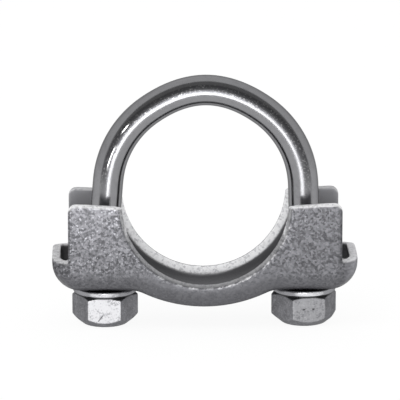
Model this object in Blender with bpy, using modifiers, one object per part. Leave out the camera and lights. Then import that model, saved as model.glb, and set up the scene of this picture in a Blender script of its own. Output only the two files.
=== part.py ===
"""U-bolt exhaust pipe clamp for a 50 mm pipe, with M10 collar nuts.

A bent round rod, the U-bolt, goes down through a pressed steel saddle, and a nut on each of its
threaded legs draws the saddle up. The pipe lies along Y, in the round space between bow and saddle.
Lengths are in metres with +Z up. The origin is on the ground, midway between the two nuts.
"""
import math

import bmesh
import bpy
from mathutils import Matrix

# Pipe and U-bolt
PIPE_DIAMETER = 0.050
ROD_DIAMETER = 0.009
THREAD_DIAMETER = 0.00985
THREAD_LENGTH = 0.027
THREAD_TIP_CHAMFER = 0.0009
THREAD_RUN_OUT = 0.0014
LEG_END_RECESS = 0.0006
BOW_LIFT = 0.0023

# Saddle, pressed from one piece of sheet
SHEET = 0.0025
LEG_TO_END = 0.016
SADDLE_DEPTH = 0.024
SIDE_BEND_RADIUS = 0.0052
END_BEND_RADIUS = 0.0066
SEAT_TO_FLAT = 0.0019
SEAT_TO_BELLY = 0.007
SEAT_TO_BELLY_CURVE = 0.017
BELLY_FILLET = 0.009
SEAT_ROLL = 0.0013
SEAT_ROLL_START = 20
SEAT_BEVEL = 0.0016

# The saddle's side walls, level with the pipe's axis at their ends, and the low rim round each end
LEG_TO_WALL_END = 0.0107
WALL_TOP_FALL = math.radians(3.3)
WALL_CORNER_RADIUS = 0.0024
WALL_CORNER_START = 10
RIM_HEIGHT = 0.0095
RIM_CROWN = 0.0011

# Collar nuts
NUT_ACROSS_FLATS = 0.017
NUT_HEIGHT = 0.0112
COLLAR_DIAMETER = 0.0187
COLLAR_THICKNESS = 0.0017
COLLAR_ROUND = 0.00035
NUT_SHOULDER_DIAMETER = 0.0176
NUT_SHOULDER_SLOPE = math.radians(30)
NUT_END_DIAMETER = 0.0140
NUT_END_SLOPE = math.radians(36)
BORE_CHAMFER = 0.0007
# How far each nut is turned from having a flat square to the front
NUT_TURNS = (("nut_left", -1, math.radians(-1.5)), ("nut_right", 1, math.radians(8)))

# Fits
SEAT_GAP = 0.0003
NUT_CLEARANCE = 0.0003
LEG_HOLE_CLEARANCE = 0.0006

# Smoothness of the round forms
ROD_SIDES = 24
BOW_STEPS = 48
ROUND_SIDES = 48
PIPE_SIDES = 112
ROLL_STEPS = 3
BEND_STEPS = 4
ARC_STEPS = 8

# How far a cutter passes the surface that it cuts
OVERSHOOT = 0.004
CONE_OVERSHOOT = 0.0005

# Places that follow from the sizes
LEG_X = (PIPE_DIAMETER + ROD_DIAMETER) / 2
SADDLE_END_X = LEG_X + LEG_TO_END
WALL_END_X = LEG_X + LEG_TO_WALL_END
FLAT_Z = NUT_HEIGHT + SEAT_GAP
AXIS_Z = FLAT_Z + SEAT_TO_FLAT + PIPE_DIAMETER / 2
BOW_Z = AXIS_Z + BOW_LIFT
BELLY_Z = AXIS_Z - PIPE_DIAMETER / 2 - SEAT_TO_BELLY
BELLY_RADIUS = PIPE_DIAMETER / 2 + SEAT_TO_BELLY_CURVE
RIM_Z = FLAT_Z + RIM_HEIGHT


def clear_scene():
    for thing in list(bpy.data.objects):
        bpy.data.objects.remove(thing, do_unlink=True)


def collection(name):
    made = bpy.data.collections.new(name)
    bpy.context.scene.collection.children.link(made)
    return made


def metal(name, colour, roughness):
    made = bpy.data.materials.new(name)
    made.use_nodes = True
    shader = made.node_tree.nodes["Principled BSDF"]
    shader.inputs["Base Color"].default_value = (*colour, 1.0)
    shader.inputs["Roughness"].default_value = roughness
    shader.inputs["Metallic"].default_value = 1.0
    made.diffuse_color = (*colour, 1.0)
    return made


def add_object(name, mesh, home):
    made = bpy.data.objects.new(name, mesh)
    home.objects.link(made)
    return made


def adopt_active(name, home):
    """Names the primitive just added and moves it into a collection."""
    made = bpy.context.active_object
    made.name = name
    for other in list(made.users_collection):
        other.objects.unlink(made)
    home.objects.link(made)
    return made


def curve_to_mesh(curve_object):
    """Replaces a curve by its mesh, with the caps welded on."""
    bpy.context.view_layer.update()
    evaluated = curve_object.evaluated_get(bpy.context.evaluated_depsgraph_get())
    mesh = bpy.data.meshes.new_from_object(evaluated)
    mesh.transform(curve_object.matrix_world)
    shape = bmesh.new()
    shape.from_mesh(mesh)
    bmesh.ops.remove_doubles(shape, verts=shape.verts, dist=1e-6)
    bmesh.ops.recalc_face_normals(shape, faces=shape.faces)
    shape.to_mesh(mesh)
    shape.free()
    name, home = curve_object.name, curve_object.users_collection[0]
    bpy.data.objects.remove(curve_object, do_unlink=True)
    return add_object(name, mesh, home)


def plate(name, points, thickness, home, placing):
    """A flat outline as a plate of even thickness. placing turns the outline's plane into the part's."""
    shape = bmesh.new()
    corners = [shape.verts.new((across, up, -thickness / 2)) for across, up in points]
    loop = [shape.edges.new(pair) for pair in zip(corners, corners[1:] + corners[:1])]
    cap = bmesh.ops.contextual_create(shape, geom=loop)["faces"]
    grown = bmesh.ops.extrude_face_region(shape, geom=cap, use_keep_orig=True)["geom"]
    moved = [item for item in grown if isinstance(item, bmesh.types.BMVert)]
    bmesh.ops.translate(shape, verts=moved, vec=(0, 0, thickness))
    bmesh.ops.recalc_face_normals(shape, faces=shape.faces)
    bmesh.ops.transform(shape, matrix=placing, verts=shape.verts)
    mesh = bpy.data.meshes.new(name)
    shape.to_mesh(mesh)
    shape.free()
    return add_object(name, mesh, home)


def side_on():
    """Places an outline drawn in X and Z, seen along the pipe."""
    return Matrix.Rotation(math.radians(90), 4, "X")


def end_on(x):
    """Places an outline drawn in Y and Z, seen along the saddle, at a distance x."""
    return Matrix.Translation((x, 0, 0)) @ Matrix.Rotation(math.radians(90), 4, "Z") @ side_on()


def arc(centre, radius, start, end, steps):
    """Points of an arc, with its angles in degrees from the outline's first axis."""
    angles = [math.radians(start + (end - start) * i / steps) for i in range(steps + 1)]
    return [(centre[0] + radius * math.cos(a), centre[1] + radius * math.sin(a)) for a in angles]


def mirrored(half):
    """Closes a right-hand half outline with its mirror image. The half ends on the middle line."""
    return half + [(-x, z) for x, z in reversed(half[:-1])]


def turned(name, profile, home, place=(0, 0, 0), sides=ROUND_SIDES):
    """A solid of revolution about Z from (radius, z) points listed from top to bottom."""
    shape = bmesh.new()
    corners = [shape.verts.new((radius, 0, z)) for radius, z in profile]
    for upper, lower in zip(corners, corners[1:]):
        shape.edges.new((upper, lower))
    mesh = bpy.data.meshes.new(name)
    shape.to_mesh(mesh)
    shape.free()
    made = add_object(name, mesh, home)
    made.location = place
    screw = made.modifiers.new("Turn", "SCREW")
    screw.steps = sides
    screw.render_steps = sides
    screw.use_merge_vertices = True
    screw.merge_threshold = 1e-5
    return made


def boolean(target, cutter, operation="DIFFERENCE"):
    change = target.modifiers.new(f"{operation.title()} {cutter.name}", "BOOLEAN")
    change.operation = operation
    change.object = cutter
    change.solver = "EXACT"


def shade_round(target, sharp_angle=35):
    target.data.shade_smooth()
    target.data.set_sharp_from_angle(angle=math.radians(sharp_angle))


def build_u_bolt(parts, cutters, finish):
    """The bent rod: a half ring on two straight legs, each with a rolled thread at its end."""
    leg_end = LEG_END_RECESS + THREAD_TIP_CHAMFER
    path = [(-LEG_X, leg_end)] + arc((0, BOW_Z), LEG_X, 180, 0, BOW_STEPS) + [(LEG_X, leg_end)]
    curve = bpy.data.curves.new("u_bolt", "CURVE")
    curve.dimensions = "3D"
    curve.bevel_depth = ROD_DIAMETER / 2
    curve.bevel_resolution = (ROD_SIDES - 4) // 2
    curve.use_fill_caps = True
    spline = curve.splines.new("POLY")
    spline.points.add(len(path) - 1)
    for point, (x, z) in zip(spline.points, path):
        point.co = (x, 0, z, 1)
    rod = bpy.data.objects.new("u_bolt", curve)
    parts.objects.link(rod)
    rod = curve_to_mesh(rod)
    rod.data.materials.append(finish)
    for side, sign in (("left", -1), ("right", 1)):
        boolean(rod, build_thread(f"thread_{side}", sign, cutters), "UNION")
    shade_round(rod)
    return rod


def build_thread(name, sign, cutters):
    """A leg's threaded length as a plain sleeve of the thread's outer diameter."""
    crest = THREAD_DIAMETER / 2
    top = LEG_END_RECESS + THREAD_LENGTH
    core = ROD_DIAMETER / 2 - THREAD_RUN_OUT / 4
    profile = [
        (0, top + THREAD_RUN_OUT),
        (core, top + THREAD_RUN_OUT),
        (crest, top),
        (crest, LEG_END_RECESS + THREAD_TIP_CHAMFER),
        (crest - THREAD_TIP_CHAMFER, LEG_END_RECESS),
        (0, LEG_END_RECESS),
    ]
    return turned(name, profile, cutters, (sign * LEG_X, 0, 0))


def tray_outline(top):
    """The saddle's outer form seen along the pipe, closed at a level top."""
    fillet_z = FLAT_Z - BELLY_FILLET
    belly_centre_z = BELLY_Z + BELLY_RADIUS
    rise = belly_centre_z - fillet_z
    fillet_x = math.sqrt((BELLY_RADIUS + BELLY_FILLET) ** 2 - rise ** 2)
    lean = math.degrees(math.atan2(fillet_x, rise))
    end_bend = (SADDLE_END_X - END_BEND_RADIUS, FLAT_Z + END_BEND_RADIUS)
    half = [(SADDLE_END_X, top)]
    half += arc(end_bend, END_BEND_RADIUS, 0, -90, ARC_STEPS)
    half += arc((fillet_x, fillet_z), BELLY_FILLET, 90, 90 + lean, BEND_STEPS)
    half += arc((0, belly_centre_z), BELLY_RADIUS, lean - 90, -90, ARC_STEPS)[1:]
    return mirrored(half)


def open_at(target, height):
    """Takes away the face that closes a shape at this height, and leaves an open surface."""
    shape = bmesh.new()
    shape.from_mesh(target.data)
    lid = [face for face in shape.faces if min(vert.co.z for vert in face.verts) > height - OVERSHOOT / 2]
    bmesh.ops.delete(shape, geom=lid, context="FACES")
    shape.to_mesh(target.data)
    shape.free()


def build_saddle(parts, cutters, finish):
    """A pressed tray with two tall side walls, a round seat for the pipe and a low rim at each end."""
    top = AXIS_Z + OVERSHOOT
    saddle = plate("saddle", tray_outline(top), SADDLE_DEPTH, parts, side_on())
    open_at(saddle, top)
    saddle.data.materials.append(finish)
    bends = saddle.modifiers.new("Bends", "BEVEL")
    bends.limit_method = "ANGLE"
    bends.angle_limit = math.radians(60)
    bends.width = SIDE_BEND_RADIUS
    bends.segments = BEND_STEPS
    bends.use_clamp_overlap = False
    wall = saddle.modifiers.new("Sheet", "SOLIDIFY")
    wall.thickness = SHEET
    wall.offset = -1
    wall.use_even_offset = True
    wall.use_quality_normals = True

    boolean(saddle, build_wall_trim(top + OVERSHOOT, cutters))
    for side, sign in (("left", -1), ("right", 1)):
        boolean(saddle, build_rim_trim(f"rim_trim_{side}", sign, cutters))
    boolean(saddle, build_seat_cutter(cutters))
    for side, sign in (("left", -1), ("right", 1)):
        bpy.ops.mesh.primitive_cylinder_add(
            vertices=ROUND_SIDES, radius=THREAD_DIAMETER / 2 + LEG_HOLE_CLEARANCE,
            depth=SHEET + 2 * OVERSHOOT, location=(sign * LEG_X, 0, FLAT_Z + SHEET / 2))
        boolean(saddle, adopt_active(f"leg_hole_{side}", cutters))
    shade_round(saddle)
    return saddle


def build_wall_trim(top, cutters):
    """Cuts the side walls to their tops, which fall a little towards the pipe and have round corners."""
    centre = (WALL_END_X - WALL_CORNER_RADIUS, AXIS_Z - WALL_CORNER_RADIUS)
    corner = arc(centre, WALL_CORNER_RADIUS, WALL_CORNER_START, 90, BEND_STEPS)
    fall = centre[0] * math.tan(WALL_TOP_FALL)
    outside = SADDLE_END_X + OVERSHOOT
    half = [(outside, top), (outside, corner[0][1])] + corner + [(0, AXIS_Z - fall)]
    return plate("wall_trim", mirrored(half), SADDLE_DEPTH + 2 * OVERSHOOT, cutters, side_on())


def build_rim_trim(name, sign, cutters):
    """Cuts one end of the tray down to its low rim, which is crowned across the saddle."""
    half_depth = SADDLE_DEPTH / 2
    reach = half_depth + OVERSHOOT
    crown_radius = (half_depth ** 2 + RIM_CROWN ** 2) / (2 * RIM_CROWN)
    spread = math.degrees(math.asin(reach / crown_radius))
    crown = arc((0, RIM_Z + RIM_CROWN - crown_radius), crown_radius, 90 - spread, 90, BEND_STEPS)
    half = [(reach, AXIS_Z)] + crown
    width = SADDLE_END_X + OVERSHOOT - WALL_END_X
    middle = sign * (WALL_END_X + width / 2)
    return plate(name, mirrored(half), width, cutters, end_on(middle))


def build_seat_cutter(cutters):
    """Cuts the round seat. Its edge is rolled over outside each wall and slopes away inside it."""
    bore = PIPE_DIAMETER / 2
    face = SADDLE_DEPTH / 2
    rolled = (bore + SEAT_ROLL, face - SEAT_ROLL)
    roll = [(rolled[0] - SEAT_ROLL * math.sin(a), rolled[1] + SEAT_ROLL * math.cos(a))
            for a in (math.radians(SEAT_ROLL_START + (90 - SEAT_ROLL_START) * i / ROLL_STEPS)
                      for i in range(ROLL_STEPS + 1))]
    start = math.radians(SEAT_ROLL_START)
    mouth = (roll[0][0] + OVERSHOOT * math.cos(start), roll[0][1] + OVERSHOOT * math.sin(start))
    half = [(0, mouth[1]), mouth] + roll + [(bore + SEAT_BEVEL, face - SHEET)]
    profile = half + [(radius, -y) for radius, y in reversed(half)]
    seat = turned("seat_cutter", profile, cutters, (0, 0, AXIS_Z), PIPE_SIDES)
    seat.rotation_euler = (math.radians(90), 0, 0)
    return seat


def build_nut(name, sign, turn, parts, cutters, finish):
    """A hexagon nut with a round collar at its seat and a coned free end."""
    circumradius = NUT_ACROSS_FLATS / 2 / math.cos(math.radians(30))
    shoulder_z = NUT_HEIGHT - COLLAR_THICKNESS
    bpy.ops.mesh.primitive_cylinder_add(vertices=6, radius=circumradius, depth=NUT_HEIGHT)
    nut = adopt_active(name, parts)
    flat_forward = math.radians(30)
    nut.data.transform(Matrix.Rotation(flat_forward + turn, 4, "Z") @ Matrix.Translation((0, 0, NUT_HEIGHT / 2)))
    nut.location = (sign * LEG_X, 0, 0)
    nut.data.materials.append(finish)

    wide = circumradius + CONE_OVERSHOOT
    shoulder = NUT_SHOULDER_DIAMETER / 2
    end = NUT_END_DIAMETER / 2
    blank = [
        (0, shoulder_z),
        (shoulder, shoulder_z),
        (wide, shoulder_z - (wide - shoulder) * math.tan(NUT_SHOULDER_SLOPE)),
        (wide, (wide - end) * math.tan(NUT_END_SLOPE)),
        (end, 0),
        (0, 0),
    ]
    boolean(nut, turned(f"{name}_blank", blank, cutters, nut.location), "INTERSECT")

    rim = COLLAR_DIAMETER / 2
    collar = [
        (0, NUT_HEIGHT),
        (rim - COLLAR_ROUND, NUT_HEIGHT),
        (rim, NUT_HEIGHT - COLLAR_ROUND),
        (rim, shoulder_z + COLLAR_ROUND),
        (rim - COLLAR_ROUND, shoulder_z),
        (shoulder - COLLAR_ROUND, shoulder_z),
        (0, shoulder_z - COLLAR_THICKNESS),
    ]
    boolean(nut, turned(f"{name}_collar", collar, cutters, nut.location), "UNION")

    bore = THREAD_DIAMETER / 2 + NUT_CLEARANCE
    over = BORE_CHAMFER
    tool = [
        (0, NUT_HEIGHT + over),
        (bore + BORE_CHAMFER + over, NUT_HEIGHT + over),
        (bore, NUT_HEIGHT - BORE_CHAMFER),
        (bore, BORE_CHAMFER),
        (bore + BORE_CHAMFER + over, -over),
        (0, -over),
    ]
    boolean(nut, turned(f"{name}_bore", tool, cutters, nut.location))
    shade_round(nut)
    return nut


def hide_cutters(home):
    for cutter in home.objects:
        cutter.display_type = "WIRE"
        cutter.hide_render = True


def main():
    clear_scene()
    parts = collection("Exhaust pipe clamp")
    cutters = collection("Cutters")
    zinc_rod = metal("zinc_rod", (0.62, 0.62, 0.64), 0.22)
    zinc_sheet = metal("zinc_sheet", (0.50, 0.50, 0.52), 0.48)
    zinc_nut = metal("zinc_nut", (0.58, 0.58, 0.60), 0.34)

    build_u_bolt(parts, cutters, zinc_rod)
    build_saddle(parts, cutters, zinc_sheet)
    for name, sign, turn in NUT_TURNS:
        build_nut(name, sign, turn, parts, cutters, zinc_nut)
    hide_cutters(cutters)


main()
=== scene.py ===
import math

import bmesh
import bpy
from mathutils import Matrix, Vector, noise


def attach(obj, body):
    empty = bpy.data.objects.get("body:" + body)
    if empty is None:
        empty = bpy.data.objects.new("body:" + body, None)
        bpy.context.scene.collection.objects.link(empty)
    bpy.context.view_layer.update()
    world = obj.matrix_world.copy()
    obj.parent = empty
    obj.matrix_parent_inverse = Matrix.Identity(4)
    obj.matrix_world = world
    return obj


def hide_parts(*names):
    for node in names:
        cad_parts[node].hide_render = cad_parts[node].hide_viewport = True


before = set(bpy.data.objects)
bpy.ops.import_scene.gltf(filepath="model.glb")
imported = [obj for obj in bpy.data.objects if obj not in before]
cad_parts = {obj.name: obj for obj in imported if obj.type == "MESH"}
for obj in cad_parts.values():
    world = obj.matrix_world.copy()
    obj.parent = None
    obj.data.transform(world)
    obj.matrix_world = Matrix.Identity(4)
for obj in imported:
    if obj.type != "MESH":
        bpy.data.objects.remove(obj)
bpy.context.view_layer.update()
print("frame loaded:", ", ".join(sorted(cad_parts)))

# the object's own sizes, in metres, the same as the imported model's
clamp = {
    "legX": 0.0295,
    "pipeRadius": 0.025,
    "nutHeight": 0.0112,
    "flatZ": 0.0115,
    "axisZ": 0.0384,
    "bowZ": 0.0407,
}


def deselectAll():
    if bpy.context.object and bpy.context.object.mode != "OBJECT":
        bpy.ops.object.mode_set(mode="OBJECT")
    bpy.ops.object.select_all(action="DESELECT")


def makeActive(piece):
    deselectAll()
    piece.select_set(True)
    bpy.context.view_layer.objects.active = piece


def editSelected(piece):
    makeActive(piece)
    bpy.ops.object.mode_set(mode="EDIT")
    bpy.ops.mesh.select_all(action="SELECT")


def tidyMesh(piece, weld=1e-6):
    editSelected(piece)
    bpy.ops.mesh.remove_doubles(threshold=weld)
    bpy.ops.mesh.normals_make_consistent(inside=False)
    bpy.ops.object.mode_set(mode="OBJECT")


# deletes the faces for which picks(face) is true
def deleteFaces(piece, picks, kind):
    editSelected(piece)
    shell = bmesh.from_edit_mesh(piece.data)
    for face in shell.faces:
        face.select_set(picks(face))
    bmesh.update_edit_mesh(piece.data)
    bpy.ops.mesh.delete(type=kind)
    bpy.ops.object.mode_set(mode="OBJECT")


# a block from an outline: points lie across and up, and axis is the way that it is pulled
def outlineBlock(name, points, low, high, axis="Y"):
    deselectAll()
    bpy.ops.mesh.primitive_circle_add(vertices=len(points), radius=0.01, fill_type="NGON")
    block = bpy.context.active_object
    block.name = name
    for vert, (across, up) in zip(block.data.vertices, points):
        vert.co = (across, low, up) if axis == "Y" else (low, across, up)
    editSelected(block)
    pull = (0, high - low, 0) if axis == "Y" else (high - low, 0, 0)
    bpy.ops.mesh.extrude_region_move(TRANSFORM_OT_translate={"value": pull})
    bpy.ops.mesh.normals_make_consistent(inside=False)
    bpy.ops.object.mode_set(mode="OBJECT")
    return block


# a turned piece about Z from rows of (radius, height), rolled up from a flat grid
def lathe(name, rows, sides, centre=(0, 0), radiusAt=None):
    deselectAll()
    bpy.ops.mesh.primitive_grid_add(x_subdivisions=sides, y_subdivisions=len(rows) - 1, size=1)
    turned = bpy.context.active_object
    turned.name = name
    for vert in turned.data.vertices:
        angle = (vert.co.x + 0.5) * 2 * math.pi
        radius, height = rows[round((vert.co.y + 0.5) * (len(rows) - 1))]
        if radiusAt and radius > 0:
            radius = radiusAt(angle, height, radius)
        x, y = centre[0] + radius * math.cos(angle), centre[1] + radius * math.sin(angle)
        vert.co = (x, y, height)
    tidyMesh(turned)
    return turned


def cut(piece, tool, operation="DIFFERENCE"):
    makeActive(piece)
    change = piece.modifiers.new("Cut", "BOOLEAN")
    change.operation = operation
    change.solver = "EXACT"
    change.object = tool
    bpy.ops.object.modifier_apply(modifier=change.name)
    bpy.data.objects.remove(tool, do_unlink=True)


# one even skin over the cut solid, whose sheared edges then take a small round
def softenEdges(piece, voxel, rounds):
    makeActive(piece)
    piece.data.remesh_voxel_size = voxel
    piece.data.use_remesh_preserve_volume = False
    bpy.ops.object.voxel_remesh()
    smooth = piece.modifiers.new("Soften", "SMOOTH")
    smooth.factor = 0.5
    smooth.iterations = rounds
    bpy.ops.object.modifier_apply(modifier=smooth.name)
    bpy.ops.object.shade_smooth()


def arcPoints(centre, radius, start, end, steps):
    angles = [math.radians(start + (end - start) * i / steps) for i in range(steps + 1)]
    return [(centre[0] + radius * math.cos(a), centre[1] + radius * math.sin(a)) for a in angles]


def bothSides(half):
    return half + [(-x, z) for x, z in reversed(half[:-1])]


def fade(value, low, high):
    t = max(0.0, min(1.0, (value - low) / (high - low)))
    return t * t * (3 - 2 * t)


# an M10 thread, right-handed: where its flank begins and how long it is, in shares of half the pitch
thread = {
    "pitch": 0.0015,
    "flankFrom": 0.78,
    "flankLong": 0.64,
}


# how high the thread stands, from 0 at the root to 1 at the crest
def threadShape(angle, height):
    phase = (height / thread["pitch"] - angle / (2 * math.pi)) % 1.0
    away = abs(phase - 0.5) * 2
    return max(0.0, min(1.0, (thread["flankFrom"] - away) / thread["flankLong"]))


# the bent rod, in metres and degrees

rod = {
    "radius": 0.0045,
    "sides": 48,
    "bowSteps": 112,
    "threadRadius": 0.0049,
    "threadRoot": 0.00405,
    "threadTop": 0.0276,
    "threadFade": 0.0016,
    "threadRings": 156,
    "legEnd": 0.0006,
    "tipChamfer": 0.0009,
    "shoulderIn": 0.0007,  # how far the bow's shoulders lie inside a true half circle
    "shoulderFrom": 55,
    "bowShift": 0.00033,
    "shapedFrom": 0.028,
    "shapedAbove": 0.044,
    "sharpAbove": 50,
}


def threadedRadius(angle, height):
    crest = rod["threadRoot"] + (rod["threadRadius"] - rod["threadRoot"]) * threadShape(angle, height)
    half = rod["threadFade"] / 2
    away = fade(height, rod["threadTop"] - half, rod["threadTop"] + half)
    tip = rod["threadRadius"] - rod["tipChamfer"] + height - rod["legEnd"]
    return min(crest + (rod["radius"] - crest) * away, tip)


# notes how far outward each point lies across the rod, then draws the bow's shoulders in a little,
# as the bending press leaves them
def shapeBow(piece):
    outward = piece.data.attributes.new("outward", "FLOAT", "POINT")
    for vert, value in zip(piece.data.vertices, outward.data):
        x, rise = vert.co.x, max(vert.co.z - clamp["bowZ"], 0.0)
        reach = math.hypot(x, rise)
        value.value = (reach - clamp["legX"]) / rod["radius"]
        share = fade(vert.co.z, rod["shapedFrom"], rod["shapedAbove"])
        turn = math.degrees(math.atan2(rise, abs(x)))
        inward = rod["shoulderIn"] * share * (1 - fade(turn, rod["shoulderFrom"], 90))
        vert.co.x += rod["bowShift"] * share - inward * x / reach
        vert.co.z -= inward * rise / reach


def pullOn(rise):
    bpy.ops.mesh.extrude_region_move(TRANSFORM_OT_translate={"value": (0, 0, rise)})


def makeBentRod():
    legX, bowZ = clamp["legX"], clamp["bowZ"]
    top = rod["threadTop"] + rod["threadFade"]
    step = (top - rod["legEnd"]) / rod["threadRings"]
    deselectAll()
    bpy.ops.mesh.primitive_circle_add(vertices=rod["sides"], radius=rod["radius"], fill_type="NGON",
                                      location=(-legX, 0, rod["legEnd"]))
    piece = bpy.context.active_object
    piece.name = "bent_rod"
    bpy.ops.object.transform_apply(location=True, rotation=True, scale=True)
    editSelected(piece)
    for ring in range(rod["threadRings"]):
        pullOn(step)
    pullOn(bowZ - top)
    bpy.ops.mesh.spin(steps=rod["bowSteps"], angle=-math.pi, center=(0, 0, bowZ), axis=(0, 1, 0))
    pullOn(top - bowZ)
    for ring in range(rod["threadRings"]):
        pullOn(-step)
    bpy.ops.object.mode_set(mode="OBJECT")
    for vert in piece.data.vertices:
        if vert.co.z < top + 1e-6:
            side = legX if vert.co.x > 0 else -legX
            angle = math.atan2(vert.co.y, vert.co.x - side)
            radius = threadedRadius(angle, vert.co.z)
            vert.co.x = side + radius * math.cos(angle)
            vert.co.y = radius * math.sin(angle)
    tidyMesh(piece)
    shapeBow(piece)
    makeActive(piece)
    bpy.ops.object.shade_smooth_by_angle(angle=math.radians(rod["sharpAbove"]))
    return piece


# the pressed saddle, in metres; the roll's start is in degrees

saddle = {
    "endX": 0.045,
    "wallEndX": 0.0402,
    "depth": 0.024,
    "sheet": 0.0025,
    "sideBend": 0.0052,
    "endBend": 0.0085,
    "bellyZ": 0.0064,
    "bellyRadius": 0.042,
    "bellyFillet": 0.009,
    "rimZ": 0.021,
    "rimCrown": 0.0011,
    "wallFall": math.radians(3.3),
    "wallCorner": 0.0024,
    "seatSpare": 0.0007,  # cut deeper by this, because the smoothing raises the seat's crest
    "seatRoll": 0.0016,
    "seatRollStart": 20,
    "seatSlope": 0.0021,
    "legHoleRadius": 0.00552,
    "spare": 0.004,
    "voxel": 0.00037,
    "softenRounds": 7,
}
halfDepth = saddle["depth"] / 2
bellyCentreZ = saddle["bellyZ"] + saddle["bellyRadius"]


def trayOutline(top):
    filletZ = clamp["flatZ"] - saddle["bellyFillet"]
    rise = bellyCentreZ - filletZ
    filletX = math.sqrt((saddle["bellyRadius"] + saddle["bellyFillet"]) ** 2 - rise ** 2)
    lean = math.degrees(math.atan2(filletX, rise))
    bend = (saddle["endX"] - saddle["endBend"], clamp["flatZ"] + saddle["endBend"])
    half = [(saddle["endX"], top)]
    half += arcPoints(bend, saddle["endBend"], 0, -90, 14)
    half += arcPoints((filletX, filletZ), saddle["bellyFillet"], 90, 90 + lean, 10)
    half += arcPoints((0, bellyCentreZ), saddle["bellyRadius"], lean - 90, -90, 16)[1:]
    return bothSides(half)


# the outline is pulled to a block, opened at the top, rounded at its edges and given the sheet's
# thickness
def makeTray(top):
    tray = outlineBlock("pressed_saddle", trayOutline(top), -halfDepth, halfDepth)
    deleteFaces(tray, lambda face: min(vert.co.z for vert in face.verts) > top - 1e-5, "ONLY_FACE")
    bends = tray.modifiers.new("Bends", "BEVEL")
    bends.limit_method = "ANGLE"
    bends.angle_limit = math.radians(60)
    bends.width = saddle["sideBend"]
    bends.segments = 8
    bends.use_clamp_overlap = False
    wall = tray.modifiers.new("Sheet", "SOLIDIFY")
    wall.thickness = saddle["sheet"]
    wall.offset = -1
    wall.use_even_offset = True
    wall.use_quality_normals = True
    makeActive(tray)
    for name in ("Bends", "Sheet"):
        bpy.ops.object.modifier_apply(modifier=name)
    return tray


# takes off what lies above the side walls' tops, which fall a little towards the seat
def wallTrim(top):
    corner = (saddle["wallEndX"] - saddle["wallCorner"], clamp["axisZ"] - saddle["wallCorner"])
    rounded = arcPoints(corner, saddle["wallCorner"], 10, 90, 6)
    outside = saddle["endX"] + saddle["spare"]
    fall = corner[0] * math.tan(saddle["wallFall"])
    half = [(outside, top), (outside, rounded[0][1])] + rounded + [(0, clamp["axisZ"] - fall)]
    reach = halfDepth + saddle["spare"]
    return outlineBlock("wallTrim", bothSides(half), -reach, reach)


# takes off what lies above an end's crowned rim
def rimTrim(sign):
    reach = halfDepth + saddle["spare"]
    crown = (halfDepth ** 2 + saddle["rimCrown"] ** 2) / (2 * saddle["rimCrown"])
    spread = math.degrees(math.asin(reach / crown))
    top = arcPoints((0, saddle["rimZ"] + saddle["rimCrown"] - crown), crown, 90 - spread, 90, 8)
    near, far = sorted((sign * saddle["wallEndX"], sign * (saddle["endX"] + saddle["spare"])))
    return outlineBlock("rimTrim", bothSides([(reach, clamp["axisZ"])] + top), near, far, "X")


def seatTool():
    bore, roll = clamp["pipeRadius"] - saddle["seatSpare"], saddle["seatRoll"]
    start, spare = math.radians(saddle["seatRollStart"]), saddle["spare"]
    angles = [start + (math.pi / 2 - start) * i / 5 for i in range(6)]
    edge = [(bore + roll - roll * math.sin(a), halfDepth - roll + roll * math.cos(a)) for a in angles]
    mouth = (edge[0][0] + spare * math.cos(start), edge[0][1] + spare * math.sin(start))
    half = [(0, mouth[1]), mouth] + edge + [(bore + saddle["seatSlope"], halfDepth - saddle["sheet"])]
    tool = lathe("seatTool", half + [(radius, -y) for radius, y in reversed(half)], 180)
    lying = Matrix.Translation((0, 0, clamp["axisZ"])) @ Matrix.Rotation(math.radians(90), 4, "X")
    tool.data.transform(lying)
    return tool


# how bright the sheared faces are, partly the cut steel's own lighter colour and partly painted
# highlight, and over which range each begins, in metres or as a share of the surface normal
shearAndHighlight = {
    "aboveRim": 0.003,
    "belowRim": 0.002,
    "frontTop": 0.75,
    "rearTop": 0.35,
    "endTop": 0.5,
    "wallUp": (0.05, 0.35),
    "endUp": (0.1, 0.45),
    "seatReach": 0.003,
    "seatInside": 0.002,
    "slopeToAxis": (0.06, 0.22),
    "slopeInward": (0.34, 0.5),
    "slopeDepth": (-0.0004, 0.0002),
    "slopeReach": (-0.0006, 0.0002),
    "line": 0.55,
    "lineFrom": (0.12, 0.24),
    "lineTo": (0.4, 0.55),
    "lineOutward": (0.5, 0.8),
    "lineAcross": (-0.02, -0.008),
    "lineBroken": (-0.2, 0.4),
    "coarse": 700,
    "fine": 2300,
    "fineShare": 0.6,
    "roll": 0.3,
    "rollToAxis": (0.3, 0.6),
    "rollOutward": (0.0, 0.3),
    "insideWall": (0.55, 0.9),  # the inside begins at these shares of the sheet's thickness
    "insideFloor": (0.5, 0.8),
}


# the wall tops and end rims are painted bright, partly as cut steel and partly as painted highlight, most
# on the front wall, which faces the lamps
def topShare(place, n):
    if place.z > saddle["rimZ"] + shearAndHighlight["aboveRim"]:
        return shearAndHighlight["frontTop" if place.y <= 0 else "rearTop"] * fade(n.z, *shearAndHighlight["wallUp"])
    if place.z > saddle["rimZ"] - shearAndHighlight["belowRim"]:
        return shearAndHighlight["endTop"] * fade(n.z, *shearAndHighlight["endUp"])
    return 0.0
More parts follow.
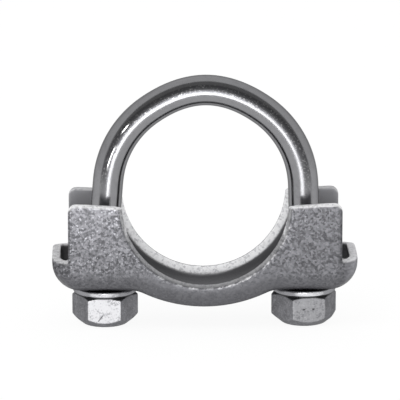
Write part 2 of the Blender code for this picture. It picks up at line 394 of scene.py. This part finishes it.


# the seat's sloped inner edge, painted bright partly as cut steel and partly as painted light; a broken
# bright line outside its rolled edge, a painted highlight of a lamp; and the roll itself
def seatShare(place, n, toAxis):
    outward = n.y if place.y > 0 else -n.y
    innerY = halfDepth - saddle["sheet"]
    slopeEnd = clamp["pipeRadius"] + saddle["seatSlope"]
    facing = -n.dot(toAxis.normalized())
    slope = fade(facing, *shearAndHighlight["slopeToAxis"]) * fade(-outward, *shearAndHighlight["slopeInward"])
    slope *= fade(abs(place.y) - innerY, *shearAndHighlight["slopeDepth"])
    slope *= 1 - fade(toAxis.length - slopeEnd, *shearAndHighlight["slopeReach"])
    line = fade(facing, *shearAndHighlight["lineFrom"]) * (1 - fade(facing, *shearAndHighlight["lineTo"]))
    line *= fade(outward, *shearAndHighlight["lineOutward"]) * fade(place.x, *shearAndHighlight["lineAcross"])
    broken = noise.noise(place * shearAndHighlight["coarse"])
    broken += shearAndHighlight["fineShare"] * noise.noise(place * shearAndHighlight["fine"])
    line *= fade(broken, *shearAndHighlight["lineBroken"])
    roll = fade(facing, *shearAndHighlight["rollToAxis"]) * fade(outward, *shearAndHighlight["rollOutward"])
    return max(slope, shearAndHighlight["line"] * line, shearAndHighlight["roll"] * roll)


# marks the sheared faces of the sheet, painted bright partly as cut steel and partly as painted
# highlight, and its inside, painted dark as painted shade
def markFaces(tray):
    cutFaceAndHighlight = tray.data.attributes.new("cutFaceAndHighlight", "FLOAT", "POINT")
    insideFace = tray.data.attributes.new("insideFace", "FLOAT", "POINT")
    seatEnd = clamp["pipeRadius"] - shearAndHighlight["seatInside"]
    wallRange, floorRange = ([saddle["sheet"] * share for share in shearAndHighlight[key]]
                             for key in ("insideWall", "insideFloor"))
    corners = zip(tray.data.vertices, tray.data.vertex_normals, cutFaceAndHighlight.data, insideFace.data)
    for vert, normal, bright, inside in corners:
        place, n = vert.co, normal.vector
        toAxis = Vector((place.x, 0, place.z - clamp["axisZ"]))
        share = topShare(place, n)
        if toAxis.length < clamp["pipeRadius"] + shearAndHighlight["seatReach"]:
            share = max(share if abs(place.x) > seatEnd else 0.0, seatShare(place, n, toAxis))
        bright.value = share
        belly = bellyCentreZ - math.sqrt(max(0.0, saddle["bellyRadius"] ** 2 - place.x ** 2))
        fromSide = fade(halfDepth - abs(place.y), *wallRange)
        fromBottom = fade(place.z - min(belly, clamp["flatZ"]), *floorRange)
        fromEnd = fade(saddle["endX"] - abs(place.x), *wallRange)
        inside.value = fromSide * fromBottom * fromEnd * (1 - share)


def makeSaddle():
    spare, hole = saddle["spare"], saddle["legHoleRadius"]
    top = clamp["axisZ"] + spare
    tray = makeTray(top)
    cut(tray, wallTrim(top + spare))
    for sign in (-1, 1):
        cut(tray, rimTrim(sign))
    cut(tray, seatTool())
    low, high = clamp["flatZ"] - spare, clamp["flatZ"] + saddle["sheet"] + spare
    for sign in (-1, 1):
        drill = [(0, high), (hole, high), (hole, low), (0, low)]
        cut(tray, lathe("legHole", drill, 64, (sign * clamp["legX"], 0)))
    softenEdges(tray, saddle["voxel"], saddle["softenRounds"])
    markFaces(tray)
    return tray


# the collar nuts

nut = {
    "acrossFlats": 0.017,
    "collarRadius": 0.0095,
    "collarThick": 0.0017,
    "collarRound": 0.0004,
    "collarLift": 0.0001,
    "shoulderRadius": 0.0079,
    "shoulderSlope": math.radians(27),
    "endRadius": 0.0066,
    "endSlope": math.radians(39.5),
    "boreMouth": 0.0059,
    "boreCrest": 0.00522,
    "boreRoot": 0.0056,
    "mouthDeep": 0.0007,
    "tapSteps": 80,
    "spare": 0.0006,
    "sides": 128,
    "turns": {"nut_left": math.radians(-1.5), "nut_right": math.radians(8)},
    # the front shine is a painted reflection of the lamp, strong on the left nut and weak on the right
    "frontShine": {"nut_left": 0.95, "nut_right": 0.25},  # how much the front flat mirrors the lamp
    "collarShine": 0.9,
    "collarOutside": 0.0008,
    "collarFacing": (0.86, 0.95),
    "flatSlack": 0.0003,
    "flatFacing": (0.9, 0.97),
    "blankSpare": 0.0005,
    "collarInset": 0.0003,
    "voxel": 0.00021,
    "softenRounds": 3,
}


def tapTool():
    height, mouth, spare, steps = clamp["nutHeight"], nut["boreMouth"], nut["spare"], nut["tapSteps"]
    low, high = nut["mouthDeep"], height - nut["mouthDeep"]
    rows = [(0, height + spare), (mouth + spare, height + spare), (mouth, height)]
    rows += [(nut["boreCrest"], high + (low - high) * i / steps) for i in range(steps + 1)]
    rows += [(mouth, 0), (mouth + spare, -spare), (0, -spare)]

    def threaded(angle, z, radius):
        if radius != nut["boreCrest"]:
            return radius
        return radius + (nut["boreRoot"] - radius) * threadShape(angle, z)

    return lathe("tapTool", rows, 64, radiusAt=threaded)


# marks the front flat and the middle of the collar, which face the lamp, for a painted reflection and
# glint of it
def markShine(piece, node, collarLow):
    front = Vector((math.sin(nut["turns"][node]), -math.cos(nut["turns"][node]), 0))
    shine = piece.data.attributes.new("frontShine", "FLOAT", "POINT")
    for vert, normal, value in zip(piece.data.vertices, piece.data.vertex_normals, shine.data):
        facing = normal.vector.dot(front)
        if vert.co.z > collarLow and vert.co.xy.length > nut["shoulderRadius"] + nut["collarOutside"]:
            value.value = nut["collarShine"] * fade(facing, *nut["collarFacing"])
        elif vert.co.dot(front) > nut["acrossFlats"] / 2 - nut["flatSlack"]:
            value.value = nut["frontShine"][node] * fade(facing, *nut["flatFacing"])


def makeNut(node, name, sign):
    height, shoulder = clamp["nutHeight"], nut["shoulderRadius"]
    corner = nut["acrossFlats"] / 2 / math.cos(math.radians(30))
    shoulderZ = height - nut["collarThick"]
    wide = corner + nut["blankSpare"]
    deselectAll()
    turn = math.radians(30) + nut["turns"][node]
    bpy.ops.mesh.primitive_cylinder_add(vertices=6, radius=corner, depth=height,
                                        location=(0, 0, height / 2), rotation=(0, 0, turn))
    piece = bpy.context.active_object
    piece.name = name
    bpy.ops.object.transform_apply(location=True, rotation=True, scale=True)
    blank = [
        (0, shoulderZ),
        (shoulder, shoulderZ),
        (wide, shoulderZ - (wide - shoulder) * math.tan(nut["shoulderSlope"])),
        (wide, (wide - nut["endRadius"]) * math.tan(nut["endSlope"])),
        (nut["endRadius"], 0),
        (0, 0),
    ]
    cut(piece, lathe("blank", blank, nut["sides"]), "INTERSECT")
    rim, rounding, top = nut["collarRadius"], nut["collarRound"], height + nut["collarLift"]
    collar = [(0, top), (rim - rounding, top)]
    collar += arcPoints((rim - rounding, top - rounding), rounding, 60, 0, 2)
    collar += [(rim, shoulderZ + rounding), (rim - rounding, shoulderZ),
               (shoulder - nut["collarInset"], shoulderZ), (0, shoulderZ - nut["collarThick"])]
    cut(piece, lathe("collar", collar, nut["sides"]), "UNION")
    cut(piece, tapTool())
    softenEdges(piece, nut["voxel"], nut["softenRounds"])
    markShine(piece, node, shoulderZ)
    piece.data.transform(Matrix.Translation((sign * clamp["legX"], 0, 0)))
    return piece


# materials


def addNode(tree, kind, links=None, **settings):
    node = tree.nodes.new(kind)
    for key, value in settings.items():
        setattr(node, key, value)
    for socket, source in (links or {}).items():
        target = node.inputs[socket]
        if isinstance(source, (int, float, tuple)):
            target.default_value = source
        else:
            tree.links.new(source, target)
    return node


def mapRange(tree, source, low, high, toLow=0.0, toHigh=1.0):
    values = {0: source, 1: low, 2: high, 3: toLow, 4: toHigh}
    return addNode(tree, "ShaderNodeMapRange", values).outputs[0]


def mathNode(tree, operation, a, b=0.0, clampIt=False):
    node = addNode(tree, "ShaderNodeMath", {0: a, 1: b}, operation=operation, use_clamp=clampIt)
    return node.outputs[0]


def times(tree, first, *others):
    product = first
    for other in others:
        product = mathNode(tree, "MULTIPLY", product, other)
    return product


def vectorNode(tree, operation, *values):
    node = addNode(tree, "ShaderNodeVectorMath", dict(enumerate(values)), operation=operation)
    return node.outputs[0]


def mixColour(tree, factor, first, second):
    node = addNode(tree, "ShaderNodeMix", {0: factor, 6: first, 7: second}, data_type="RGBA")
    return node.outputs[2]


def objectPlace(tree):
    return addNode(tree, "ShaderNodeTexCoord").outputs["Object"]


def placeAxes(tree):
    return addNode(tree, "ShaderNodeSeparateXYZ", {0: objectPlace(tree)}).outputs


def markOf(tree, name):
    return addNode(tree, "ShaderNodeAttribute", attribute_name=name).outputs["Fac"]


def newGroup(name, inputs, outputs):
    group = bpy.data.node_groups.new(name, "ShaderNodeTree")
    for label, kind, value in inputs:
        group.interface.new_socket(name=label, in_out="INPUT", socket_type=kind).default_value = value
    for label in outputs:
        group.interface.new_socket(name=label, in_out="OUTPUT", socket_type="NodeSocketFloat")
    return group, group.nodes.new("NodeGroupInput"), group.nodes.new("NodeGroupOutput")


# a range here and in the looks is: from, to, then the values there, 0 and 1 where none are given
plating = {
    "cellShare": 0.45,
    "fineScale": 0.55,
    "fleckPush": 0.001,
    "fleckLevel": (0.0, 1.0, 0.35, 1.0),
    "fleckEdge": (0.3, 0.6, 1.0, 0.0),
    "fleckSpread": 0.1,
    "stainScale": 2.7,
    "stain": (0.5, 0.68),
}


# grains of the zinc plate: each cell takes its own tone, a fine noise breaks the cells up, and
# single flecks, pushed out of round by another noise, stand out bright
def makeGrainGroup():
    group, given, out = newGroup(
        "zincGrain",
        [("Grain Scale", "NodeSocketFloat", 1500.0), ("Fleck Scale", "NodeSocketFloat", 1300.0),
         ("Fleck Share", "NodeSocketFloat", 0.3)],
        ["Grain", "Bright Fleck"],
    )
    place = objectPlace(group)
    grainScale, fleckScale = given.outputs["Grain Scale"], given.outputs["Fleck Scale"]
    cells = addNode(group, "ShaderNodeTexVoronoi", {"Vector": place, "Scale": grainScale})
    tone = addNode(group, "ShaderNodeSeparateColor", {0: cells.outputs["Color"]}).outputs[0]
    fineScale = times(group, grainScale, plating["fineScale"])
    fine = addNode(group, "ShaderNodeTexNoise",
                   {"Vector": place, "Scale": fineScale, "Detail": 3.0, "Roughness": 0.65})
    grain = mathNode(group, "ADD", times(group, tone, plating["cellShare"]),
                     times(group, fine.outputs["Fac"], 1 - plating["cellShare"]))
    group.links.new(grain, out.inputs["Grain"])
    wander = addNode(group, "ShaderNodeTexNoise", {"Vector": place, "Scale": fleckScale, "Detail": 1.0})
    shift = vectorNode(group, "SUBTRACT", wander.outputs["Color"], (0.5, 0.5, 0.5))
    pushed = vectorNode(group, "MULTIPLY_ADD", shift, (plating["fleckPush"],) * 3, place)
    spots = addNode(group, "ShaderNodeTexVoronoi", {"Vector": pushed, "Scale": fleckScale})
    pick = addNode(group, "ShaderNodeSeparateColor", {0: spots.outputs["Color"]}).outputs
    least = mathNode(group, "SUBTRACT", 1.0, given.outputs["Fleck Share"])
    chosen = mapRange(group, pick[0], least, mathNode(group, "ADD", least, plating["fleckSpread"]))
    level = mapRange(group, pick[1], *plating["fleckLevel"])
    body = mapRange(group, spots.outputs["Distance"], *plating["fleckEdge"])
    group.links.new(times(group, chosen, level, body), out.inputs["Bright Fleck"])
    return group


# slow changes of tone over the surface, as dips, drips and handling leave them
def makeCloudGroup():
    group, given, out = newGroup(
        "platingClouds",
        [("Cloud Scale", "NodeSocketFloat", 120.0), ("Stretch", "NodeSocketVector", (1.0, 1.0, 1.0))],
        ["Cloud", "Stain"],
    )
    scale = given.outputs["Cloud Scale"]
    stretch = {"Vector": objectPlace(group), "Scale": given.outputs["Stretch"]}
    pulled = addNode(group, "ShaderNodeMapping", stretch).outputs[0]
    cloud = addNode(group, "ShaderNodeTexNoise",
                    {"Vector": pulled, "Scale": scale, "Detail": 4.0, "Roughness": 0.6})
    group.links.new(cloud.outputs["Fac"], out.inputs["Cloud"])
    stainScale = times(group, scale, plating["stainScale"])
    stain = addNode(group, "ShaderNodeTexNoise",
                    {"Vector": pulled, "Scale": stainScale, "Detail": 5.0, "Roughness": 0.7})
    group.links.new(mapRange(group, stain.outputs["Fac"], *plating["stain"]), out.inputs["Stain"])
    return group


grainGroup, cloudGroup = makeGrainGroup(), makeCloudGroup()


def placeGroup(tree, group, **values):
    node = tree.nodes.new("ShaderNodeGroup")
    node.node_tree = group
    for name, value in values.items():
        node.inputs[name.replace("_", " ")].default_value = value
    return node.outputs


def placeGrain(tree, look):
    return placeGroup(tree, grainGroup, Grain_Scale=look["grainScale"],
                      Fleck_Scale=look["fleckScale"], Fleck_Share=look["fleckShare"])


def placeClouds(tree, scale, output="Cloud", **values):
    return placeGroup(tree, cloudGroup, Cloud_Scale=scale, **values)[output]


def newMetal(name, look):
    finish = bpy.data.materials.new(name)
    finish.use_nodes = True
    tree = finish.node_tree
    shader = tree.nodes["Principled BSDF"]
    shader.inputs["Metallic"].default_value = 1.0
    shader.inputs["Specular Tint"].default_value = look["edgeTint"]
    return finish, tree, shader


def setShader(tree, shader, height, bump, **values):
    relief = addNode(tree, "ShaderNodeBump", {"Height": height, "Distance": bump, "Strength": 1.0})
    values["Normal"] = relief.outputs[0]
    for name, value in values.items():
        tree.links.new(value, shader.inputs[name.replace("_", " ")])


sheetLook = {
    "dark": (0.085, 0.085, 0.091, 1),
    "light": (0.2, 0.2, 0.214, 1),
    "fleck": (0.58, 0.58, 0.62, 1),
    "paintedLowShade": (0.152, 0.152, 0.163, 1),
    "inside": (0.125, 0.125, 0.131, 1),
    "insideHigh": (0.27, 0.27, 0.284, 1),
    "cut": (0.97, 0.97, 0.98, 1),
    "cutDull": (0.7, 0.7, 0.72, 1),
    "edgeTint": (0.5, 0.5, 0.5, 1),
    "grainScale": 1700.0,
    "fleckScale": 1400.0,
    "fleckShare": 0.45,
    "cloudScale": 110.0,
    "drawnScale": 500.0,
    "drawnStretch": (0.12, 1.0, 1.0),
    "workedScale": 700.0,
    "grain": (0.3, 0.68),
    "besideBelly": (0.012, 0.028, 0.0045, 0.0),
    "grained": (0.002, 0.012),
    "lowShadeStreaks": (0.001, 0.008, 1.0, 0.0),
    "streaks": (0.35, 0.65, 0.55, 1.0),
    "rightEar": (0.01, 0.03, 0.0, 0.16),
    "rightEnd": (0.0405, 0.0435, 0.0, 0.35),
    "leftEar": (-0.022, -0.03, 0.0, 0.08),
    "leftEarUp": (0.022, 0.032),
    "fleckClouds": (0.35, 0.6),
    "fleckUp": (0.0, 1.0, 0.15, 1.0),
    "fleckLeft": (0.015, -0.015, 0.25, 1.0),
    "insideUp": (0.028, 0.036),
    "cutGrain": (0.3, 0.45),
    "cutWorked": (0.38, 0.5, 0.86, 1.0),
    "insideMetal": (0.0, 1.0, 1.0, 0.15),
    "rough": (0.25, 0.75, 0.5, 0.38),
    "bump": 0.00004,
}


def makeSheetFinish():
    look = sheetLook
    finish, tree, shader = newMetal("pressedZincSheet", look)
    x, _, z = placeAxes(tree)
    grain = placeGrain(tree, look)
    cloud = placeClouds(tree, look["cloudScale"])
    drawn = placeClouds(tree, look["drawnScale"], Stretch=look["drawnStretch"])
    worked = placeClouds(tree, look["workedScale"])
    base = mixColour(tree, mapRange(tree, grain["Grain"], *look["grain"]), look["dark"], look["light"])
    # the die leaves less grain low down, and higher up beside the belly
    beside = mapRange(tree, mathNode(tree, "ABSOLUTE", x), *look["besideBelly"])
    level = mathNode(tree, "SUBTRACT", mathNode(tree, "SUBTRACT", z, clamp["flatZ"]), beside)
    grained = mapRange(tree, level, *look["grained"])
    rightEar = times(tree, grained, mapRange(tree, x, *look["rightEar"]))
    base = mixColour(tree, rightEar, base, look["dark"])
    leftEar = times(tree, mapRange(tree, x, *look["leftEar"]), mapRange(tree, z, *look["leftEarUp"]))
    base = mixColour(tree, leftEar, base, look["fleck"])
    # the low bends are painted darker in streaks, a painted shade where they turn away from the lamps;
    # the streaks are stretched along the saddle
    lowShadeStreaks = times(tree, mapRange(tree, level, *look["lowShadeStreaks"]), mapRange(tree, drawn, *look["streaks"]))
    base = mixColour(tree, lowShadeStreaks, base, look["paintedLowShade"])
    flecks = times(tree, grain["Bright Fleck"], mapRange(tree, cloud, *look["fleckClouds"]),
                   mapRange(tree, grained, *look["fleckUp"]), mapRange(tree, x, *look["fleckLeft"]))
    base = mixColour(tree, flecks, base, look["fleck"])
    base = mixColour(tree, mapRange(tree, x, *look["rightEnd"]), base, look["fleck"])
    # the inside of the channel is painted dark as painted shade, and lighter high up on the walls near
    # the opening as painted light
    insideFace = markOf(tree, "insideFace")
    upWall = mapRange(tree, z, *look["insideUp"])
    paintedInsideShade = mixColour(tree, upWall, look["inside"], look["insideHigh"])
    base = mixColour(tree, insideFace, base, paintedInsideShade)
    # the sheared faces take a light, non-metal colour: the cut steel's own, with painted highlight on top
    cutFaceAndHighlight = times(tree, markOf(tree, "cutFaceAndHighlight"), mapRange(tree, worked, *look["cutWorked"]))
    cutGrain = mapRange(tree, grain["Grain"], *look["cutGrain"])
    cutTone = mixColour(tree, cutGrain, look["cutDull"], look["cut"])
    base = mixColour(tree, cutFaceAndHighlight, base, cutTone)
    metal = mathNode(tree, "SUBTRACT", mapRange(tree, insideFace, *look["insideMetal"]), cutFaceAndHighlight, True)
    setShader(tree, shader, grain["Grain"], look["bump"], Base_Color=base, Metallic=metal,
              Roughness=mapRange(tree, grain["Grain"], *look["rough"]))
    return finish


rodLook = {
    "plain": (0.27, 0.27, 0.28, 1),
    "darkReflectionAndStain": (0.11, 0.11, 0.117, 1),
    "fleck": (0.4, 0.4, 0.4, 1),
    "rubbed": (0.8, 0.8, 0.8, 1),
    "edgeTint": (0.4, 0.4, 0.4, 1),
    "grainScale": 2000.0,
    "fleckScale": 1900.0,
    "fleckShare": 0.4,
    "cloudScale": 160.0,
    "bandInner": (-0.09, 0.12),
    "bandOuter": (0.5, 0.56, 1.0, 0.0),
    "bandUp": (clamp["bowZ"], 0.047, 0.25, 1.0),
    "bandShare": 0.9,
    "stainShare": 0.2,
    "rough": (0.0, 1.0, 0.17, 0.33),
    "bump": 0.00001,
    "rubFade": 0.06,
    "rubCore": 0.6,
    # bright rub marks on the left shoulder: place across the rod, half width, turn up the bow from and to
    "rubMarks": [(0.33, 0.05, 0.6, 0.76), (0.22, 0.05, 0.22, 0.5)],
}


# the outer side of the bend was stretched, and its plate is coarser and rougher; its colour is painted
# dark there, a painted reflection of the dark room
def makeRodFinish():
    look = rodLook
    finish, tree, shader = newMetal("drawnZincRod", look)
    x, _, z = placeAxes(tree)
    outward = markOf(tree, "outward")
    band = times(tree, mapRange(tree, outward, *look["bandInner"]),
                 mapRange(tree, outward, *look["bandOuter"]), mapRange(tree, z, *look["bandUp"]))
    grain = placeGrain(tree, look)
    stain = placeClouds(tree, look["cloudScale"], "Stain")
    darkReflectionAndStain = mixColour(tree, grain["Bright Fleck"], look["darkReflectionAndStain"], look["fleck"])
    # the band is painted dark, a painted reflection of the dark room, with bright flecks in it
    base = mixColour(tree, times(tree, band, look["bandShare"]), look["plain"], darkReflectionAndStain)
    base = mixColour(tree, times(tree, stain, look["stainShare"]), base, look["darkReflectionAndStain"])
    height = times(tree, grain["Grain"], band)
    rise = mathNode(tree, "SUBTRACT", z, clamp["bowZ"])
    turn = mathNode(tree, "ARCTAN2", rise, times(tree, x, -1.0))
    blend = look["rubFade"]
    for middle, halfWidth, start, end in look["rubMarks"]:
        off = mathNode(tree, "SUBTRACT", outward, middle)
        beside = mathNode(tree, "ABSOLUTE", off)
        mark = times(tree, mapRange(tree, beside, halfWidth * look["rubCore"], halfWidth, 1.0, 0.0),
                     mapRange(tree, turn, start, start + blend),
                     mapRange(tree, turn, end - blend, end, 1.0, 0.0))
        base = mixColour(tree, mark, base, look["rubbed"])
        # turns the mark's surface to the lamp
        tilt = rod["radius"] * math.tan(math.asin(middle)) / look["bump"]
        height = mathNode(tree, "ADD", height, times(tree, off, tilt, mark))
    rough = mapRange(tree, band, *look["rough"])
    setShader(tree, shader, height, look["bump"], Base_Color=base, Roughness=rough)
    return finish


nutLook = {
    "dark": (0.145, 0.145, 0.154, 1),
    "light": (0.27, 0.27, 0.286, 1),
    "fleck": (0.5, 0.5, 0.52, 1),
    "grooveShadeAndMarks": (0.05, 0.05, 0.053, 1),
    "collar": (0.3, 0.3, 0.316, 1),
    "shine": (0.74, 0.74, 0.76, 1),
    "shineDull": (0.42, 0.42, 0.44, 1),
    "edgeTint": (0.5, 0.5, 0.5, 1),
    "grainScale": 2600.0,
    "fleckScale": 2200.0,
    "fleckShare": 0.25,
    "cloudScale": 260.0,
    "grainPart": 0.4,
    "tone": (0.3, 0.7),
    "fleckPart": 0.5,
    "shineTone": (0.38, 0.48),
    "shineMetal": (0.0, 1.0, 1.0, 0.25),
    "groovePart": 0.9,
    "markPart": 0.85,
    "markEdge": (0.7, 1.1, 1.0, 0.0),
    "frontSide": (-0.006, -0.0055, 1.0, 0.0),
    "rough": (0.35, 0.65, 0.46, 0.36),
    "collarSmooth": 0.14,
    "collarBlend": 0.0003,
    "grooveStart": (-0.0007, -0.0004),  # below the collar's lower edge
    "grooveEnd": 0.0002,
    "bump": 0.000012,
    # a scratch and two dents on the front flats: middle across and up, half length, half width, lean
    "marks": [(-0.03085, 0.00315, 0.0012, 0.00016, 0.9), (0.0292, 0.0056, 0.00045, 0.00026, 0.0),
              (0.032, 0.0056, 0.00035, 0.0003, 0.0)],
}


# 1 inside a leaning oblong on the nuts' front, 0 outside
def flatMark(tree, x, z, across, up, halfLong, halfWide, lean):
    dx, dz = mathNode(tree, "SUBTRACT", x, across), mathNode(tree, "SUBTRACT", z, up)
    cos, sin = math.cos(lean), math.sin(lean)
    along = mathNode(tree, "ADD", times(tree, dx, cos), times(tree, dz, sin))
    beside = mathNode(tree, "SUBTRACT", times(tree, dz, cos), times(tree, dx, sin))
    longShare, wideShare = (mathNode(tree, "DIVIDE", mathNode(tree, "ABSOLUTE", value), limit)
                            for value, limit in ((along, halfLong), (beside, halfWide)))
    return mapRange(tree, mathNode(tree, "MAXIMUM", longShare, wideShare), *nutLook["markEdge"])


def makeNutFinish():
    look = nutLook
    finish, tree, shader = newMetal("formedZincNut", look)
    x, y, z = placeAxes(tree)
    grain = placeGrain(tree, look)
    cloud = placeClouds(tree, look["cloudScale"])
    tone = mathNode(tree, "ADD", times(tree, grain["Grain"], look["grainPart"]),
                    times(tree, cloud, 1 - look["grainPart"]))
    base = mixColour(tree, mapRange(tree, tone, *look["tone"]), look["dark"], look["light"])
    base = mixColour(tree, times(tree, grain["Bright Fleck"], look["fleckPart"]), base, look["fleck"])
    collarLine = clamp["nutHeight"] - nut["collarThick"]
    onCollar = mapRange(tree, z, collarLine, collarLine + look["collarBlend"])
    base = mixColour(tree, onCollar, base, look["collar"])
    frontShine = markOf(tree, "frontShine")
    shineShare = mapRange(tree, tone, *look["shineTone"])
    shineTone = mixColour(tree, shineShare, look["shineDull"], look["shine"])
    # the front flat and the collar's middle take a painted reflection of the lamp
    base = mixColour(tree, frontShine, base, shineTone)
    # painted shade in the groove under the collar
    groove = times(tree, mapRange(tree, z, *(collarLine + edge for edge in look["grooveStart"])),
                   mapRange(tree, z, collarLine, collarLine + look["grooveEnd"], 1.0, 0.0))
    base = mixColour(tree, times(tree, groove, look["groovePart"]), base, look["grooveShadeAndMarks"])
    front = times(tree, mapRange(tree, y, *look["frontSide"]), look["markPart"])
    for mark in look["marks"]:
        base = mixColour(tree, times(tree, flatMark(tree, x, z, *mark), front), base, look["grooveShadeAndMarks"])
    rough = mathNode(tree, "SUBTRACT", mapRange(tree, tone, *look["rough"]),
                     times(tree, onCollar, look["collarSmooth"]))
    setShader(tree, shader, grain["Grain"], look["bump"], Base_Color=base, Roughness=rough,
              Metallic=mapRange(tree, frontShine, *look["shineMetal"]))
    return finish


def dress(piece, finish, body, node):
    piece.data.materials.clear()
    piece.data.materials.append(finish)
    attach(piece, body)
    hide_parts(node)


dress(makeBentRod(), makeRodFinish(), "u_bolt_body", "u_bolt")
print("bent rod made")
dress(makeSaddle(), makeSheetFinish(), "saddle_body", "saddle")
print("pressed saddle made")
nutFinish = makeNutFinish()
for node, name, sign in (("nut_left", "collar_nut_left", -1), ("nut_right", "collar_nut_right", 1)):
    dress(makeNut(node, name, sign), nutFinish, node + "_body", node)
print("nuts made")

# studio

studio = {
    "azimuth": math.radians(-1.3),
    "elevation": math.radians(14),
    "distance": 1.1,
    "pixelsPerMetre": 3360.0,
    "pictureWidth": 400,
    "sensorWidth": 36,
    "aimAcross": -0.00131,
    "aimUp": 0.03588,
    "worldLevel": 1.0,  # how strongly the room lights the clamp; the backdrop stays white
    "floorSize": 8,
    "floorColour": (0.96, 0.96, 0.96, 1),
    "paperWhite": 0.92,
    "roomRadius": 2.4,
    "roomHeight": 3.4,
    "openBehind": 30,
    "roomFront": 0.23,
    "roomBack": 0.86,
    "roomEdge": -1.15,
    "roomBlend": 0.1,
    "roomLean": 0.18,
    "panelCorners": [(-0.045, -0.17), (0.045, -0.17), (-0.15, -1.0), (0.15, -1.0)],
    "panelLift": 0.0004,
    "panelGlow": (-0.05, 0.05, 10.875, 3.75),
    # name, place, aim, size, watts, and whether the metal mirrors it
    "lamps": [
        ("frontSoftbox", (-0.025, -1.0, 0.085), (0, 0, 0.04), (0.3, 0.12), 1.8, True),
        ("highKey", (-0.5, -0.5, 1.1), (0, 0, 0.03), (0.5, 0.5), 3.0, False),
    ],
}
white = (1, 1, 1, 1)


def makeCamera():
    a, e = studio["azimuth"], studio["elevation"]
    back = Vector((math.sin(a) * math.cos(e), -math.cos(a) * math.cos(e), math.sin(e)))
    across = Vector((math.cos(a), math.sin(a), 0))
    aim = across * studio["aimAcross"] + back.cross(across) * studio["aimUp"]
    seenWidth = studio["pictureWidth"] / studio["pixelsPerMetre"]
    data = bpy.data.cameras.new("photoCamera")
    data.sensor_width = studio["sensorWidth"]
    data.lens = studio["sensorWidth"] * studio["distance"] / seenWidth
    data.clip_start, data.clip_end = 0.05, 20
    camera = bpy.data.objects.new("photoCamera", data)
    bpy.context.scene.collection.objects.link(camera)
    camera.location = aim + back * studio["distance"]
    camera.rotation_euler = back.to_track_quat("Z", "Y").to_euler()
    bpy.context.scene.camera = camera


# 1 for rays from the camera or off a mirroring surface, 0 for the soft light that falls on things
def seenRays(tree):
    path = addNode(tree, "ShaderNodeLightPath").outputs
    mirrored = mathNode(tree, "MAXIMUM", path["Is Glossy Ray"], path["Is Transmission Ray"])
    return mathNode(tree, "MAXIMUM", path["Is Camera Ray"], mirrored)


def makeFloor():
    deselectAll()
    bpy.ops.mesh.primitive_plane_add(size=studio["floorSize"], location=(0, 0, 0))
    floor = bpy.context.active_object
    floor.name = "paper_floor"
    paper = bpy.data.materials.new("whitePaper")
    paper.use_nodes = True
    tree = paper.node_tree
    shader = tree.nodes["Principled BSDF"]
    shader.inputs["Base Color"].default_value = studio["floorColour"]
    shader.inputs["Roughness"].default_value = 0.9
    shader.inputs["Specular IOR Level"].default_value = 0.0
    glow = addNode(tree, "ShaderNodeEmission", {"Color": white, "Strength": 1.0})
    share = times(tree, seenRays(tree), studio["paperWhite"])
    mixed = addNode(tree, "ShaderNodeMixShader", {0: share, 1: shader.outputs[0], 2: glow.outputs[0]})
    tree.links.new(mixed.outputs[0], tree.nodes["Material Output"].inputs["Surface"])
    floor.data.materials.append(paper)


# a glowing surface that shows only in the metal: its strength follows the place along one line
def glowInMetal(piece, name, along, glowRange):
    glowing = bpy.data.materials.new(name)
    glowing.use_nodes = True
    tree = glowing.node_tree
    strength = mapRange(tree, along(tree, *placeAxes(tree)), *glowRange)
    glow = addNode(tree, "ShaderNodeEmission", {"Color": white, "Strength": strength})
    tree.links.new(glow.outputs[0], tree.nodes["Material Output"].inputs["Surface"])
    piece.data.materials.append(glowing)
    for kind in ("visible_camera", "visible_diffuse", "visible_shadow", "visible_transmission"):
        setattr(piece, kind, False)


# the room round the table, dark on the camera's side and open to the white backdrop behind
def makeRoom():
    deselectAll()
    height, start = studio["roomHeight"], studio["roomEdge"]
    bpy.ops.mesh.primitive_cylinder_add(vertices=72, radius=studio["roomRadius"], depth=height,
                                        location=(0, 0, height / 2))
    room = bpy.context.active_object
    room.name = "studio_room"
    bpy.ops.object.transform_apply(location=True, rotation=True, scale=True)
    spread = math.tan(math.radians(studio["openBehind"]))

    def isOpen(face):
        middle = face.calc_center_median()
        behind = middle.y > 0 and abs(middle.x) < middle.y * spread
        return middle.z < 0.01 or (behind and abs(face.normal.z) < 0.5)

    deleteFaces(room, isOpen, "FACE")

    def behindLine(tree, x, y, z):
        return mathNode(tree, "SUBTRACT", y, times(tree, z, studio["roomLean"]))

    glowRange = (start, start + studio["roomBlend"], studio["roomFront"], studio["roomBack"])
    glowInMetal(room, "roomWalls", behindLine, glowRange)


# a flat light panel on the table before the clamp, brighter to the left
def makePanel():
    deselectAll()
    bpy.ops.mesh.primitive_plane_add(size=1)
    panel = bpy.context.active_object
    panel.name = "frontPanel"
    for vert, (x, y) in zip(panel.data.vertices, studio["panelCorners"]):
        vert.co = (x, y, studio["panelLift"])
    glowInMetal(panel, "frontPanelGlass", lambda tree, x, y, z: x, studio["panelGlow"])


def makeLamp(name, place, aim, size, watts, mirrored):
    data = bpy.data.lights.new(name, "AREA")
    data.shape = "RECTANGLE"
    data.size, data.size_y = size
    data.energy = watts
    lamp = bpy.data.objects.new(name, data)
    bpy.context.scene.collection.objects.link(lamp)
    lamp.location = place
    lamp.rotation_euler = (Vector(place) - Vector(aim)).to_track_quat("Z", "Y").to_euler()
    lamp.visible_camera = False
    lamp.visible_glossy = mirrored


def makeWorld():
    world = bpy.data.worlds.new("whiteRoom")
    bpy.context.scene.world = world
    world.use_nodes = True
    tree = world.node_tree
    tree.nodes.clear()
    level = mapRange(tree, seenRays(tree), 0.0, 1.0, studio["worldLevel"], 1.0)
    room = addNode(tree, "ShaderNodeBackground", {"Color": white, "Strength": level})
    out = tree.nodes.new("ShaderNodeOutputWorld")
    tree.links.new(room.outputs[0], out.inputs["Surface"])


makeCamera()
makeFloor()
makeRoom()
makePanel()
for lamp in studio["lamps"]:
    makeLamp(*lamp)
makeWorld()
bpy.context.scene.view_settings.view_transform = "Standard"
print("studio made")
